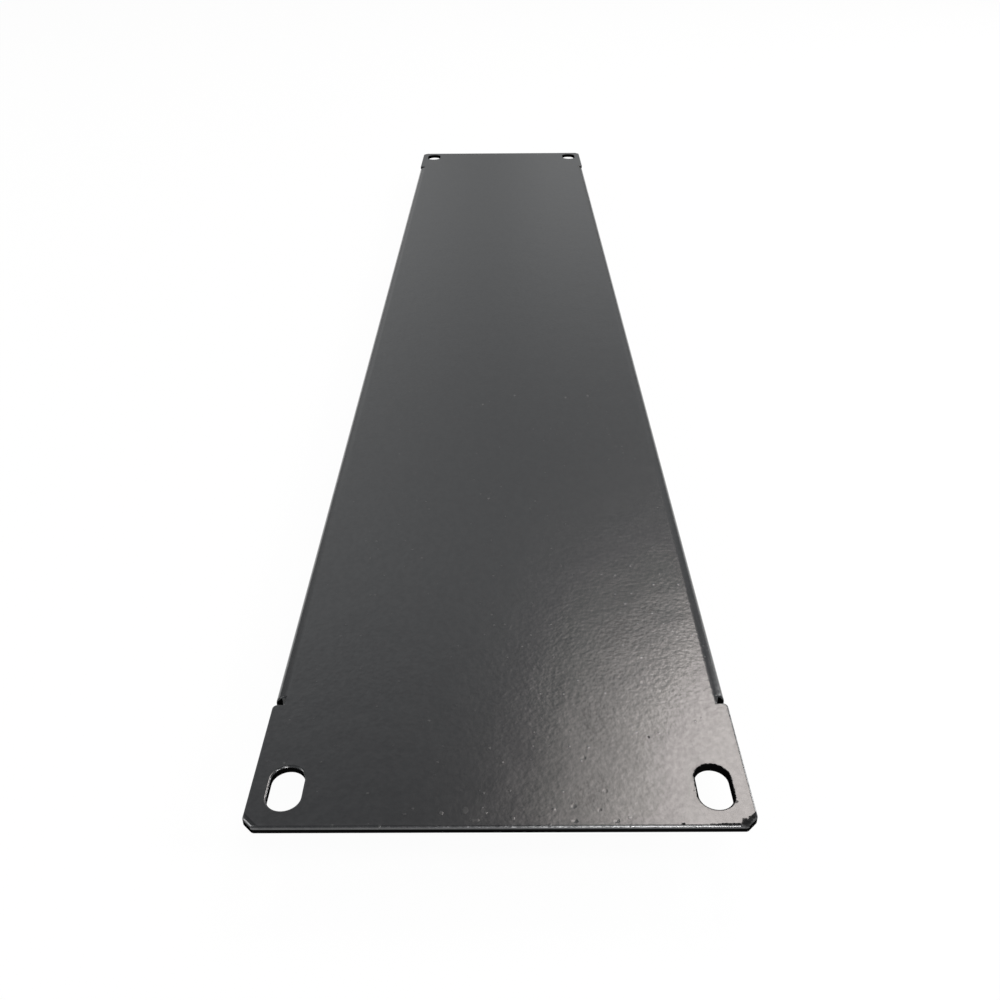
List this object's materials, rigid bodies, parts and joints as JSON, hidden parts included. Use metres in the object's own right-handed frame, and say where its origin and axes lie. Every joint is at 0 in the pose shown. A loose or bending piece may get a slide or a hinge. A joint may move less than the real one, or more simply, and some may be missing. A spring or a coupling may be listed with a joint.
{
  "type": "rack blanking panel",
  "caption": "Flat folded-steel panel that closes unused space in a 19 inch rack, with flat ears, round-ended screw slots at the corners, corner relief notches and folded-down long edges.",
  "frame": {"origin": "middle of the plane that the folded lips' free edges stand on, centred along the length and across the height", "axes": "+X along the panel's length (across the rack), +Y across the panel's height (up the rack), +Z out of the front face; the panel lies face up"},
  "size_m": [0.4826, 0.0888, 0.015],
  "materials": {
    "black_powder_coat": "semi-gloss black powder coat with a fine orange peel"
  },
  "bodies": {
    "root": {"blanking_panel": "black_powder_coat"}
  },
  "joints": []
}
